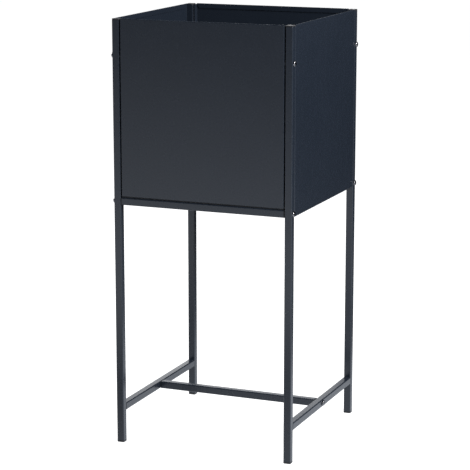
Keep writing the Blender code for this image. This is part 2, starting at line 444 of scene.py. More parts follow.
@dataclass(frozen=True)
class EffectGroup:
    """A shader node group that several finishes share.

    Args:
        name: Name of the group.
        inputs: Default of each number that it takes.
        outputs: Names of the values that it puts out.
    """

    name: str
    inputs: dict
    outputs: tuple

    def open(self) -> tuple:
        """Make the group's tree and sockets.

        Returns:
            The graph, the group's input sockets by name, and its output node.
        """
        tree = bpy.data.node_groups.new(self.name, "ShaderNodeTree")
        for name, default in self.inputs.items():
            kind = "NodeSocketVector" if default is None else "NodeSocketFloat"
            socket = tree.interface.new_socket(name, in_out="INPUT", socket_type=kind)
            if default is not None:
                socket.default_value = default
        for name in self.outputs:
            tree.interface.new_socket(name, in_out="OUTPUT", socket_type="NodeSocketFloat")
        source = tree.nodes.new("NodeGroupInput")
        sink = tree.nodes.new("NodeGroupOutput")
        return Graph(tree), {s.name: s for s in source.outputs if s.name}, sink


class Effects:
    """The node groups that the finishes share, each built once."""

    def __init__(self) -> None:
        """Build the groups."""
        self.grain = self.build_grain()
        self.cloud = self.build_cloud()
        self.edge = self.build_edge()
        self.dust = self.build_dust()
        self.scuff = self.build_scuff()

    def build_grain(self) -> bpy.types.NodeTree:
        """Orange peel with a fine grit on it, as a height.

        Returns:
            The group's tree.
        """
        inputs = {"Vector": None, "Peel": 1.0, "Grit": 1.0, "Size": 1.0}
        graph, given, sink = EffectGroup("surface_grain", inputs, ("Height",)).open()
        inverse = graph.math("DIVIDE", 1.0, given["Size"])
        scaled = graph.add("VectorMath", {0: given["Vector"], 3: inverse}, operation="SCALE")
        peel = graph.noise(scaled.outputs[0], scale=520.0, detail=1.5)
        peel = graph.math("MULTIPLY", peel, given["Peel"])
        grit = graph.noise(scaled.outputs[0], scale=2600.0, detail=2.0, rough=0.6)
        grit = graph.math("MULTIPLY", grit, given["Grit"])
        graph.link(graph.math("ADD", peel, grit), sink.inputs["Height"])
        return graph.tree

    def build_cloud(self) -> bpy.types.NodeTree:
        """Slow change of tone over a sheet, with a finer mottle in it.

        Returns:
            The group's tree.
        """
        inputs = {"Vector": None, "Broad": 7.0, "Fine": 60.0}
        graph, given, sink = EffectGroup("tone_cloud", inputs, ("Cloud", "Mottle")).open()
        broad = graph.noise(given["Vector"], scale=given["Broad"], detail=3.0, rough=0.55)
        fine = graph.noise(given["Vector"], scale=given["Fine"], detail=4.0, rough=0.6)
        graph.link(graph.span(broad, low=0.3, high=0.7), sink.inputs["Cloud"])
        graph.link(graph.span(fine, low=0.35, high=0.65), sink.inputs["Mottle"])
        return graph.tree

    def build_edge(self) -> bpy.types.NodeTree:
        """Mask of the edges that hands and cloths rub, broken up by noise.

        Returns:
            The group's tree.
        """
        inputs = {"Vector": None, "Radius": 0.0012, "Amount": 1.0}
        graph, given, sink = EffectGroup("edge_wear", inputs, ("Mask",)).open()
        bevel = graph.add("Bevel", {"Radius": given["Radius"]}, samples=4).outputs[0]
        normal = graph.add("NewGeometry").outputs["Normal"]
        same = graph.add("VectorMath", {0: bevel, 1: normal}, operation="DOT_PRODUCT")
        turned = graph.math("SUBTRACT", 1.0, same.outputs["Value"])
        edge = graph.span(turned, low=0.01, high=0.16)
        breakup = graph.noise(given["Vector"], scale=240.0, detail=4.0, rough=0.65)
        worn = graph.math("MULTIPLY", edge, graph.span(breakup, low=0.38, high=0.66))
        worn = graph.math("MULTIPLY", worn, given["Amount"], clamp=True)
        graph.link(worn, sink.inputs["Mask"])
        return graph.tree

    def build_dust(self) -> bpy.types.NodeTree:
        """Mask of the fine dust that settles on faces that look up.

        Returns:
            The group's tree.
        """
        inputs = {"Vector": None, "Amount": 1.0}
        graph, given, sink = EffectGroup("settled_dust", inputs, ("Mask",)).open()
        normal = graph.add("NewGeometry").outputs["Normal"]
        up = graph.add("SeparateXYZ", {0: normal}).outputs["Z"]
        facing = graph.span(up, low=0.35, high=0.95)
        patches = graph.noise(given["Vector"], scale=26.0, detail=5.0, rough=0.62)
        patches = graph.span(patches, low=0.35, high=0.75)
        specks = graph.noise(given["Vector"], scale=1400.0, detail=2.0)
        specks = graph.span(specks, low=0.45, high=0.72)
        laid = graph.math("MULTIPLY", facing, graph.math("MULTIPLY", patches, specks))
        laid = graph.math("MULTIPLY", laid, given["Amount"], clamp=True)
        graph.link(laid, sink.inputs["Mask"])
        return graph.tree

    def build_scuff(self) -> bpy.types.NodeTree:
        """Mask of the hair-thin rub marks of packing and handling, in two directions.

        Returns:
            The group's tree.
        """
        inputs = {"Vector": None, "Amount": 1.0}
        graph, given, sink = EffectGroup("hair_scuffs", inputs, ("Mask",)).open()
        marks = []
        for turn, stretch in RUB_MARKS:
            inputs = {"Vector": given["Vector"], "Rotation": (turn, turn / 2, turn), "Scale": stretch}
            mapped = graph.add("Mapping", inputs).outputs[0]
            hairs = graph.noise(mapped, scale=1.0, detail=2.0)
            marks.append(graph.span(hairs, low=0.71, high=0.80))
        patches = graph.noise(given["Vector"], scale=14.0, detail=2.0)
        patches = graph.span(patches, low=0.50, high=0.72)
        both = graph.math("MULTIPLY", graph.math("MAXIMUM", *marks), patches)
        both = graph.math("MULTIPLY", both, given["Amount"], clamp=True)
        graph.link(both, sink.inputs["Mask"])
        return graph.tree


# The two directions of the rub marks: turn in radians and how closely they lie, by axis
RUB_MARKS = ((0.35, (26.0, 900.0, 26.0)), (1.15, (900.0, 20.0, 20.0)))

# Shares by which tone changes, rubbed edges and rub marks turn the colour pale
CLOUD_SHARE = 0.16
MOTTLE_SHARE = 0.06
EDGE_SHARE = 0.5
SCUFF_SHARE = 0.35

# How far the mottle spreads the roughness, rubbing lowers it and dust raises it
MOTTLE_SPREAD = 0.008
EDGE_POLISH = 0.08
SCUFF_POLISH = 0.10
DUST_BLUR = 0.35
DUST_COLOUR = (0.30, 0.29, 0.27, 1)


@dataclass(frozen=True)
class Finish:
    """A surface finish in one colour, with its own grain, wear and dust.

    Args:
        name: Name of the material.
        colour: Base colour, linear.
        pale: Colour that rubbed edges and slow tone changes lean to, linear.
        roughness: Roughness of the clean surface.
        metallic: Metallic value.
        peel: Strength of the orange peel.
        grit: Strength of the fine grit.
        grain_size: Size of both, 1 for powder coat.
        bump: Depth of the grain in metres.
        wear: How much the edges are rubbed.
        dust: How much dust lies on faces that look up.
        scuffs: How many hair-thin rub marks there are.
        specular: Specular level of the surface.
    """

    name: str
    colour: tuple
    pale: tuple
    roughness: float
    metallic: float = 0.0
    peel: float = 1.0
    grit: float = 0.35
    grain_size: float = 1.0
    bump: float = 0.00003
    wear: float = 0.5
    dust: float = 0.3
    scuffs: float = 0.4
    specular: float = 0.5

    def build(self, effects: Effects) -> bpy.types.Material:
        """Make the material.

        Args:
            effects: The shared node groups.

        Returns:
            The material.
        """
        material = bpy.data.materials.new(self.name)
        material.use_nodes = True
        material.diffuse_color = (*self.colour, 1)
        graph = Graph(material.node_tree)
        shader = material.node_tree.nodes["Principled BSDF"]
        spot = graph.add("TexCoord").outputs["Object"]

        def effect(tree: bpy.types.NodeTree, **values: float) -> bpy.types.Node:
            """Place a shared group.

            Args:
                tree: The group.
                values: Its own value for each number that it takes.

            Returns:
                The node.
            """
            node = graph.add("Group", node_tree=tree)
            graph.link(spot, node.inputs["Vector"])
            for name, value in values.items():
                node.inputs[name.capitalize()].default_value = value
            return node

        grain = effect(effects.grain, peel=self.peel, grit=self.grit, size=self.grain_size)
        cloud = effect(effects.cloud)
        edge = effect(effects.edge, amount=self.wear).outputs["Mask"]
        dust = effect(effects.dust, amount=self.dust).outputs["Mask"]
        scuff = effect(effects.scuff, amount=self.scuffs).outputs["Mask"]

        base, pale = (*self.colour, 1), (*self.pale, 1)
        mottle = cloud.outputs["Mottle"]
        tone = graph.math("MULTIPLY", cloud.outputs["Cloud"], CLOUD_SHARE)
        tone = graph.math("ADD", tone, graph.math("MULTIPLY", mottle, MOTTLE_SHARE))
        colour = graph.mix(tone, base, pale)
        colour = graph.mix(graph.math("MULTIPLY", edge, EDGE_SHARE), colour, pale)
        colour = graph.mix(graph.math("MULTIPLY", scuff, SCUFF_SHARE), colour, pale)
        colour = graph.mix(dust, colour, DUST_COLOUR)
        graph.link(colour, shader.inputs["Base Color"])

        least, most = self.roughness - MOTTLE_SPREAD, self.roughness + MOTTLE_SPREAD
        rough = graph.span(mottle, low=0.0, high=1.0, to_low=least, to_high=most)
        rough = graph.math("SUBTRACT", rough, graph.math("MULTIPLY", edge, EDGE_POLISH))
        rough = graph.math("SUBTRACT", rough, graph.math("MULTIPLY", scuff, SCUFF_POLISH))
        rough = graph.math("ADD", rough, graph.math("MULTIPLY", dust, DUST_BLUR), clamp=True)
        graph.link(rough, shader.inputs["Roughness"])

        inputs = {"Strength": 1.0, "Distance": self.bump, "Height": grain.outputs["Height"]}
        graph.link(graph.add("Bump", inputs).outputs[0], shader.inputs["Normal"])
        shader.inputs["Metallic"].default_value = self.metallic
        shader.inputs["Specular IOR Level"].default_value = self.specular
        return material


POWDER_COAT = Finish(
    name="anthracite_powder_coat",
    colour=(0.0145, 0.0200, 0.0305),
    pale=(0.023, 0.030, 0.044),
    roughness=0.27,
    bump=0.000009,
    wear=0.3,
    dust=0.06,
)
MOULDED_PLASTIC = Finish(
    name="black_moulded_plastic",
    colour=(0.018, 0.019, 0.022),
    pale=(0.040, 0.041, 0.045),
    roughness=0.50,
    peel=0.25,
    grit=1.0,
    grain_size=0.45,
    bump=0.00002,
    dust=0.06,
)
BLACK_STEEL = Finish(
    name="blackened_bolt_steel",
    colour=(0.19, 0.19, 0.20),
    pale=(0.30, 0.30, 0.31),
    roughness=0.18,
    metallic=1.0,
    peel=0.2,
    grit=0.6,
    grain_size=0.25,
    bump=0.000004,
    dust=0.1,
)
DULL_STEEL = Finish(
    name="phosphated_nut_steel",
    colour=(0.014, 0.015, 0.018),
    pale=(0.030, 0.031, 0.034),
    roughness=0.55,
    peel=0.3,
    grit=1.0,
    grain_size=0.4,
    bump=0.00001,
)


@dataclass(frozen=True)
class Palette:
    """The planter's finishes as materials.

    Args:
        coat: Powder coat of tube and sheet.
        plastic: Caps and feet.
        steel: Bolts.
        dull: Rivet nuts and end plugs.
    """

    coat: bpy.types.Material
    plastic: bpy.types.Material
    steel: bpy.types.Material
    dull: bpy.types.Material

    @classmethod
    def mix(cls) -> "Palette":
        """Build the shared effects and the materials.

        Returns:
            The palette.
        """
        effects = Effects()
        finishes = (POWDER_COAT, MOULDED_PLASTIC, BLACK_STEEL, DULL_STEEL)
        return cls(*(finish.build(effects) for finish in finishes))


# Sub-assemblies


@dataclass
class TubeStock:
    """Square steel tube with round corners.

    Args:
        wall: Thickness of the wall.
        corner: Outer radius of the corners.
        corner_steps: Segments in each corner.
        burr: Width of the eased edge at a sawn end.
        bore: Radius of a bolt hole.
    """

    wall: float = 0.0012
    corner: float = 0.0020
    corner_steps: int = CORNER_STEPS
    burr: float = 0.00015
    bore: float = 0.0033

    def cut_to(self, node: str, turn: Turn) -> Blank:
        """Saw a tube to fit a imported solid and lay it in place.

        Args:
            node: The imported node.
            turn: The way the tube runs.

        Returns:
            The tube.
        """
        box = Box.of(node)
        length, side = max(box.size), min(box.size)
        blank = Blank()
        face = blank.rounded_square(side, self.corner, self.corner_steps)
        ring = bmesh.ops.inset_region(
            blank.bm, faces=[face], thickness=self.wall, use_even_offset=True, use_boundary=True
        )
        bmesh.ops.delete(blank.bm, geom=[face], context="FACES_ONLY")
        blank.extrude(ring["faces"], (0, 0, length), closes=True)
        rims = [e for e in blank.bm.edges if self.is_rim(e)]
        blank.round_over(rims, self.burr, EASED_STEPS)
        bmesh.ops.translate(blank.bm, verts=blank.bm.verts, vec=(0, 0, -length / 2))
        return blank.place(turn.value, box.centre)

    def is_rim(self, edge: bmesh.types.BMEdge) -> bool:
        """Tell whether an edge runs round a sawn end."""
        level = abs(edge.verts[0].co.z - edge.verts[1].co.z) < TINY
        return level and abs(edge.calc_face_angle(0)) > math.radians(SAWN_END)


@dataclass
class SheetStock:
    """Folded sheet steel.

    Args:
        thickness: Thickness of the sheet.
        bend: Outer radius of a fold.
        bend_steps: Segments in a fold.
        hem_height: How far the hem reaches down the inner face.
        hem_mitre: How much shorter the hem's free edge is at each end.
        hem_gap: Gap between the two layers of the hem.
        hem_steps: Segments in the rolled top edge.
        burr: Width of the eased cut edges.
    """

    thickness: float = 0.0012
    bend: float = 0.0018
    bend_steps: int = 8
    hem_height: float = 0.0095
    hem_mitre: float = 0.0045
    hem_gap: float = 0.0001
    hem_steps: int = 12
    burr: float = 0.0001

    @property
    def roll(self) -> float:
        """Outer radius of the hem's rolled edge."""
        return self.thickness + self.hem_gap / 2

    def folded_panel(self, width: float, flange: float, height: float) -> Blank:
        """Fold a panel with a flange at both ends and below, and a hem along its top.

        Its outer face is at y = 0 looking to -Y, and its bottom is at z = 0.

        Args:
            width: Width over the end folds.
            flange: Depth of the flanges.
            height: Height from the lower fold to the top of the hem.

        Returns:
            The panel.
        """
        blank = Blank()
        bm = blank.bm
        wall = height - self.roll
        size = Matrix.Diagonal((width, flange, wall, 1))
        bmesh.ops.create_cube(bm, size=1, matrix=Matrix.Translation((0, flange / 2, wall / 2)) @ size)
        bm.normal_update()
        opened = [f for f in bm.faces if f.normal.y > 0.5 or f.normal.z > 0.5]
        bmesh.ops.delete(bm, geom=opened, context="FACES_ONLY")
        bmesh.ops.delete(bm, geom=[e for e in bm.edges if not e.link_faces], context="EDGES")
        blank.round_over([e for e in bm.edges if len(e.link_faces) == 2], self.bend, self.bend_steps)
        self.roll_hem(blank, wall)
        blank.thicken(self.thickness)
        self.ease(blank)
        return blank

    def roll_hem(self, blank: Blank, wall: float) -> None:
        """Roll the top edge inwards and turn it down, with mitred ends.

        Args:
            blank: The panel, still a skin.
            wall: Height at which the roll starts.
        """
        top = [
            e
            for e in blank.bm.edges
            if all(abs(v.co.y) < TINY and v.co.z > wall - TINY for v in e.verts)
        ]
        rolled = bmesh.ops.spin(
            blank.bm,
            geom=top,
            cent=(0, self.roll, wall),
            axis=(1, 0, 0),
            angle=-math.pi,
            steps=self.hem_steps,
        )["geom_last"]
        edges = [item for item in rolled if isinstance(item, bmesh.types.BMEdge)]
        for point in blank.extrude_edges(edges, (0, 0, self.roll - self.hem_height)):
            point.co.x -= math.copysign(self.hem_mitre, point.co.x)

    def ease(self, blank: Blank) -> None:
        """Take the sharpness off the cut edges.

        Args:
            blank: The piece, with its thickness.
        """
        blank.face_out()
        cut_edges = [e for e in blank.bm.edges if e.calc_face_angle(0) > math.radians(CUT_EDGE)]
        blank.round_over(cut_edges, self.burr, EASED_STEPS)


@dataclass
class MouldedStopper:
    """Plastic end stopper of a post: a plate as wide as the tube, with a stem that fits inside.

    Args:
        plate: Thickness of the plate.
        rim: Radius of the plate's outer edge.
        crown: How far the plate's outer face is domed.
        corner: Radius of the plate's corners.
        wall: Space that the tube's wall takes up beside the stem.
        stem_taper: Width of the stem's tip as a share of its foot.
        rim_steps: Segments in the rim.
        dome_rings: Rings of faces in the dome.
    """

    plate: float
    rim: float = 0.0009
    crown: float = 0.00025
    corner: float = 0.0020
    wall: float = 0.0015
    stem_taper: float = 0.94
    rim_steps: int = 6
    dome_rings: int = 4

    def mould(self, node: str, turn: Matrix) -> Blank:
        """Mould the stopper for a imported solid.

        Args:
            node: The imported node.
            turn: Its turn from plate down and stem up.

        Returns:
            The stopper, in place.
        """
        box = Box.of(node)
        side, length = box.size.x, box.size.z
        blank = Blank()
        face = blank.rounded_square(side, self.corner, CORNER_STEPS)
        top = blank.extrude([face], (0, 0, self.plate), closes=True)
        bmesh.ops.inset_region(blank.bm, faces=top, thickness=self.wall, use_even_offset=True)
        tip = blank.extrude(top, (0, 0, length - self.plate))
        points = {v for f in tip for v in f.verts}
        taper = Matrix.Diagonal((self.stem_taper, self.stem_taper, 1, 1))
        bmesh.ops.transform(blank.bm, matrix=taper, verts=list(points))
        rim = [e for e in blank.bm.edges if all(abs(v.co.z) < TINY for v in e.verts)]
        blank.round_over(rim, self.rim, self.rim_steps)
        self.dome(blank)
        bmesh.ops.translate(blank.bm, verts=blank.bm.verts, vec=(0, 0, -length / 2))
        return blank.place(turn, box.centre)

    def dome(self, blank: Blank) -> None:
        """Dish the rim back, so that the middle of the plate stands proud of it.

        Args:
            blank: The stopper, plate down.
        """
        blank.face_out()
        outer = (f for f in blank.bm.faces if f.normal.z < -SQUARE_ON)
        face = max(outer, key=lambda f: f.calc_area())
        reach = max(v.co.x for v in face.verts)
        for _ in range(self.dome_rings):
            ring = reach / (self.dome_rings + 2)
            bmesh.ops.inset_region(blank.bm, faces=[face], thickness=ring)
        for point in blank.bm.verts:
            if point.co.z < self.rim / 4:
                share = min(1.0, max(abs(point.co.x), abs(point.co.y)) / reach)
                point.co.z += self.crown * share * share


@dataclass
class ButtonBolt:
    """Button-head bolt with a hexagon socket.

    Args:
        head: Height of the head.
        rim: Height of the head's upright rim.
        land: Width of the flat round the socket.
        shank: Radius of the shank.
        point: Width of the chamfer at the shank's tip.
        across_flats: Width of the socket.
        socket: Depth of the socket.
        drill_width: Width of the socket's drilled point, as a share of the socket's radius.
        drill_depth: Depth of that point, as a share of the socket's radius.
        under: Width of the chamfer under the head.
        dome_steps: Segments from the rim to the land.
        sides: Segments round the bolt.
    """

    head: float = 0.0030
    rim: float = 0.0005
    land: float = 0.0005
    shank: float = 0.0030
    point: float = 0.0006
    across_flats: float = 0.0040
    socket: float = 0.0018
    drill_width: float = 0.4
    drill_depth: float = 0.25
    under: float = 0.0002
    dome_steps: int = 14
    sides: int = 64

    def turn_up(self, node: str, side: Side) -> bpy.types.Object:
        """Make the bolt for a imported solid.

        Args:
            node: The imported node.
            side: The side that its head is on.

        Returns:
            The bolt, in place.
        """
        box = Box.of(node)
        radius, length = box.size.y / 2, box.size.x
        seat = box.centre.copy()
        seat.x += side.value * (length / 2 - self.head)
        turn = Matrix.Rotation(side.value * math.pi / 2, 4, "Y")
        blank = Blank()
        blank.turn(self.profile(radius, length - self.head), self.sides)
        bolt = blank.place(turn, seat).to_object(node + "_fine")
        cut(bolt, [self.socket_tool(turn, seat)])
        return bolt

    def profile(self, radius: float, length: float) -> list:
        """Draw the outline from the tip of the shank to the top of the head.

        Args:
            radius: Radius of the head.
            length: Length of the shank.

        Returns:
            Its (radius, z) points, with the seat of the head at z = 0.
        """
        land = self.across_flats / math.sqrt(3) + self.land
        outline = [(0, -length), (self.shank - self.point, -length)]
        outline += [(self.shank, self.point - length), (self.shank, 0)]
        outline += [(radius - self.under, 0), (radius, self.under)]
        for step in range(self.dome_steps + 1):
            angle = math.pi / 2 * step / self.dome_steps
            across = land + (radius - land) * math.cos(angle)
            outline.append((across, self.rim + (self.head - self.rim) * math.sin(angle)))
        return outline + [(0, self.head)]

    def socket_tool(self, turn: Matrix, seat: Vector) -> bpy.types.Object:
        """Make the cutter of the socket: a hexagon with a drilled point.

        Args:
            turn: Turn of the bolt.
            seat: The place under its head.

        Returns:
            The cutter.
        """
        across = self.across_flats / math.sqrt(3)
        blank = Blank()
        points = bmesh.ops.create_cone(
            blank.bm, cap_ends=True, segments=6, radius1=across, radius2=across, depth=self.head
        )["verts"]
        lowest = min(v.co.z for v in points)
        floor = [f for f in blank.bm.faces if all(v.co.z < lowest + TINY for v in f.verts)]
        bmesh.ops.translate(
            blank.bm, verts=blank.bm.verts, vec=(0, 0, self.head * 1.5 - self.socket)
        )
        bmesh.ops.inset_region(blank.bm, faces=floor, thickness=across * (1 - self.drill_width))
        drilled = list({v for f in floor for v in f.verts})
        bmesh.ops.translate(blank.bm, verts=drilled, vec=(0, 0, -across * self.drill_depth))
        return blank.place(turn, seat).to_object("socket_tool")


@dataclass
class RivetNut:
    """Rivet nut that is set in a panel's end flange.

    Args:
        collar: Thickness of the collar.
        barrel: Radius of the barrel.
        bulge: Radius of the fold that grips behind the flange.
        bulge_length: Length of that fold.
        bulge_steps: Segments in it.
        flange: Thickness of the sheet that it grips.
        bore: Radius of the bore.
        lip: Width of the chamfer at the mouth of the bore.
        sides: Segments round it.
    """

    collar: float = 0.0012
    barrel: float = 0.0044
    bulge: float = 0.0056
    bulge_length: float = 0.0026
    bulge_steps: int = 8
    flange: float = 0.0015
    bore: float = 0.00305
    lip: float = 0.0004
    sides: int = 56

    def set_in(self, node: str, side: Side) -> bpy.types.Object:
        """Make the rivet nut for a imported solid, opening inwards.

        Args:
            node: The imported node.
            side: The side that its collar faces.

        Returns:
            The rivet nut, in place.
        """
        box = Box.of(node)
        radius, length = box.size.y / 2, box.size.x
        mouth = box.centre.copy()
        mouth.x += side.value * length / 2
        blank = Blank()
        blank.turn(self.outline(radius, length), self.sides, closed=True)
        turn = Matrix.Rotation(-side.value * math.pi / 2, 4, "Y")
        return blank.place(turn, mouth).to_object(node + "_fine")

    def outline(self, radius: float, length: float) -> list:
        """Draw the closed outline, with the collar's outer face at z = 0.

        Args:
            radius: Radius of the collar.
            length: Length over all.

        Returns:
            Its (radius, z) points, which close on themselves.
        """
        fold = self.collar + self.flange
        swell = (self.bulge - self.barrel) / 2
        outline = [(self.bore + self.lip, 0), (radius - self.lip, 0), (radius, self.lip)]
        outline += [(radius, self.collar), (self.barrel, self.collar), (self.barrel, fold)]
        for step in range(1, self.bulge_steps):
            angle = math.pi * 2 * step / self.bulge_steps
            rise = swell * (1 - math.cos(angle))
            outline.append((self.barrel + rise, fold + self.bulge_length * step / self.bulge_steps))
        outline += [(self.barrel, fold + self.bulge_length), (self.barrel, length - self.lip)]
        outline += [(self.barrel - self.lip, length), (self.bore + self.lip, length)]
        return outline + [(self.bore, length - self.lip), (self.bore, self.lip)]


@dataclass
class SideFrame:
    """Welded side frame: two posts, their caps and feet, a stretcher and the flush side panel.

    Args:
        side: Which of the two it is.
        palette: The finishes.
        tube: Stock of the posts and the stretcher.
        sheet: Stock of the panel.
        cap: The posts' caps.
        foot: The posts' feet.
    """

    side: Side
    palette: Palette
    tube: TubeStock = field(default_factory=TubeStock)
    sheet: SheetStock = field(default_factory=SheetStock)
    cap: MouldedStopper = field(default_factory=lambda: MouldedStopper(plate=0.0025))
    foot: MouldedStopper = field(
        default_factory=lambda: MouldedStopper(plate=0.0030, crown=0.0001, rim=0.0007)
    )

    def build(self) -> None:
        """Build the frame's pieces."""
        for end in End:
            self.build_post(f"{end.label}_{self.side.label}")
        self.build_stretcher()
        self.build_panel()

    def build_post(self, corner: str) -> None:
        """Build the post of one corner, drilled for its two bolts, with its cap and foot.

        Args:
            corner: Its corner, as node names have it.
        """
        node = f"{corner}_post"
        post = self.tube.cut_to(node, Turn.ALONG_Z).to_object(f"{node}_tube")
        tools = []
        for bolt in ("upper", "lower"):
            spot = Box.of(f"{corner}_{bolt}_bolt").centre
            spot.x = Box.of(node).centre.x
            name = f"{bolt}_tool"
            tools.append(drill(name, self.tube.bore, THROUGH_TUBE, Turn.ALONG_X, spot))
        cut(post, tools)
        hand_in(post, self.palette.coat, node)
        over = Matrix.Rotation(math.pi, 4, "X")
        for part, stopper, turn in (("cap", self.cap, over), ("foot", self.foot, Matrix())):
            node = f"{corner}_{part}"
            piece = stopper.mould(node, turn).to_object(f"{node}_moulding")
            hand_in(piece, self.palette.plastic, node)

    def build_stretcher(self) -> None:
        """Build the low stretcher, drilled for the crossbar's bolt."""
        node = f"{self.side.label}_stretcher"
        stretcher = self.tube.cut_to(node, Turn.ALONG_Y).to_object(f"{node}_tube")
        tool = drill("tool", self.tube.bore, THROUGH_TUBE, Turn.ALONG_X, Box.of(node).centre)
        cut(stretcher, [tool])
        hand_in(stretcher, self.palette.coat, node)

    def build_panel(self) -> None:
        """Build the folded panel that lies flush between the posts."""
        node = f"{self.side.label}_panel"
        box = Box.of(node)
        blank = self.sheet.folded_panel(box.size.y, box.size.x, box.size.z)
        outer = box.high.x if self.side is Side.RIGHT else box.low.x
        turn = Matrix.Rotation(self.side.value * math.pi / 2, 4, "Z")
        blank.place(turn, Vector((outer, box.centre.y, box.low.z)))
        hand_in(blank.to_object(f"{node}_sheet"), self.palette.coat, node)


@dataclass
class CrossMember:
    """Rail and folded panel that join the side frames at the front or at the back.

    Args:
        end: Which of the two it is.
        palette: The finishes.
        tube: Stock of the rail.
        sheet: Stock of the panel.
        rivet_hole: Radius of the holes for the rivet nuts.
    """

    end: End
    palette: Palette
    tube: TubeStock = field(default_factory=TubeStock)
    sheet: SheetStock = field(default_factory=SheetStock)
    rivet_hole: float = 0.00455

    def build(self) -> None:
        """Build the rail and the panel."""
        node = f"{self.end.label}_rail"
        rail = self.tube.cut_to(node, Turn.ALONG_X).to_object(f"{node}_tube")
        hand_in(rail, self.palette.coat, node)
        self.build_panel()

    def build_panel(self) -> None:
        """Build the panel, with a hole for a rivet nut in each end flange."""
        node = f"{self.end.label}_panel"
        box = Box.of(node)
        blank = self.sheet.folded_panel(box.size.x, box.size.y, box.size.z)
        outer = box.high.y if self.end is End.BACK else box.low.y
        turn = Matrix.Rotation(math.pi if self.end is End.BACK else 0, 4, "Z")
        blank.place(turn, Vector((box.centre.x, outer, box.low.z)))
        panel = blank.to_object(f"{node}_sheet")
        tools = []
        for side in Side:
            spot = Box.of(f"{self.end.label}_{side.label}_upper_rivet_nut").centre
            name = f"{side.label}_tool"
            tools.append(drill(name, self.rivet_hole, THROUGH_FLANGE, Turn.ALONG_X, spot))
        cut(panel, tools)
        hand_in(panel, self.palette.coat, node)


@dataclass
class ShadeStrip:
    """Dark rubber strip in the gap between a rail and the panel above it: painted shade, which stands
    in for the shadow in that gap.

    Args:
        end: Front or back.
        palette: The finishes.
        setback: Distance from the face of the panel to the strip.
        width: Width of the strip.
        squeeze: Gap left over and under the strip.
        edge: Radius of its long edges.
        edge_steps: Segments in them.
    """

    end: End
    palette: Palette
    setback: float = 0.0025
    width: float = 0.0080
    squeeze: float = 0.00005
    edge: float = 0.0004
    edge_steps: int = 4

    def build(self) -> None:
        """Lay the strip on the rail, as long as the rail."""
        rail = Box.of(f"{self.end.label}_rail")
        panel = Box.of(f"{self.end.label}_panel")
        outer = panel.high.y if self.end is End.BACK else panel.low.y
        middle = outer - self.end.value * (self.setback + self.width / 2)
        low, high = rail.high.z + self.squeeze, panel.low.z - self.squeeze
        size = Matrix.Diagonal((rail.size.x, self.width, high - low, 1))
        spot = Matrix.Translation((rail.centre.x, middle, (low + high) / 2))
        blank = Blank()
        bmesh.ops.create_cube(blank.bm, size=1, matrix=spot @ size)
        blank.round_over(blank.bm.edges[:], self.edge, self.edge_steps)
        # Painted shade: this dark strip fills the gap where there is only shadow.
        strip = blank.to_object(f"{self.end.label}_panel_seal")
        hand_in(strip, self.palette.plastic)


@dataclass
class FloorTray:
    """Floor of the box: a sheet notched round the posts, with a lip down each side.

    Args:
        palette: The finishes.
        sheet: Stock of the tray.
        post_clearance: Distance from a post to the edge of its notch.
        drain_radius: Radius of a drain hole.
        drain_reach: Distance of the outer drain holes from the middle, both ways.
        drain_over: How far the cutters stand above and, in sheets, below the tray.
        drain_lip: Depth of the widened mouth of a drain hole.
        drain_flare: Steps of that mouth, as (width, height) shares of its depth.
        drain_mouth: Width of its top, as a share of its depth.
        drain_sides: Segments round a drain hole.
    """

    palette: Palette
    sheet: SheetStock = field(default_factory=SheetStock)
    post_clearance: float = 0.0035
    drain_radius: float = 0.0040
    drain_reach: float = 0.090
    drain_over: tuple = (TINY * 20, 3)
    drain_lip: float = 0.0004
    drain_flare: tuple = ((0, -1), (0.4, -0.3))
    drain_mouth: float = 1.2
    drain_sides: int = 64

    def build(self) -> None:
        """Build the tray."""
        box = Box.of("floor_tray")
        reach = box.size / 2
        post = Box.of("front_left_post")
        narrow = Vector((-post.high.x, -post.high.y, 0)) - Vector((1, 1, 0)) * self.post_clearance
        blank = Blank()
        bm = blank.bm
        bmesh.ops.create_grid(bm, x_segments=3, y_segments=3, size=1)
        for point in bm.verts:
            for axis in (0, 1):
                limit = reach[axis] if abs(point.co[axis]) > 0.5 else narrow[axis]
                point.co[axis] = math.copysign(limit, point.co[axis])
        corners = [f for f in bm.faces if self.in_notch(f, narrow)]
        bmesh.ops.delete(bm, geom=corners, context="FACES")
        sides = [e for e in bm.edges if all(abs(v.co.x) > narrow.x + TINY for v in e.verts)]
        blank.extrude_edges(sides, (0, 0, -box.size.z))
        blank.round_over(sides, self.sheet.bend, self.sheet.bend_steps)
        blank.thicken(self.sheet.thickness)
        self.sheet.ease(blank)
        blank.place(Matrix(), Vector((box.centre.x, box.centre.y, box.high.z)))
        tray = blank.to_object("floor_tray_sheet")
        cut(tray, self.drain_tools(box))
        hand_in(tray, self.palette.coat, "floor_tray")

    def in_notch(self, face: bmesh.types.BMFace, narrow: Vector) -> bool:
        """Tell whether a face of the grid lies where a post stands."""
        middle = face.calc_center_median()
        return abs(middle.x) > narrow.x and abs(middle.y) > narrow.y

    def drain_tools(self, box: Box) -> list:
        """Make the cutters of the five drain holes, each with a wider mouth above.

        Args:
            box: The tray's box.

        Returns:
            The cutters.
        """
        spots = [(0, 0)] + [(x, y) for x in (-1, 1) for y in (-1, 1)]
        tools = []
        for number, (x, y) in enumerate(spots):
            blank = Blank()
            radius, lip = self.drain_radius, self.drain_lip
            over, sheets = self.drain_over
            bottom = -sheets * self.sheet.thickness
            outline = [(0, bottom), (radius, bottom)]
            outline += [(radius + lip * wide, lip * high) for wide, high in self.drain_flare]
            outline += [(radius + lip * self.drain_mouth, over), (0, over)]
            blank.turn(outline, self.drain_sides)
            spot = Vector((x * self.drain_reach, y * self.drain_reach, box.high.z))
            tools.append(blank.place(Matrix(), spot).to_object(f"drain_tool_{number}"))
        return tools


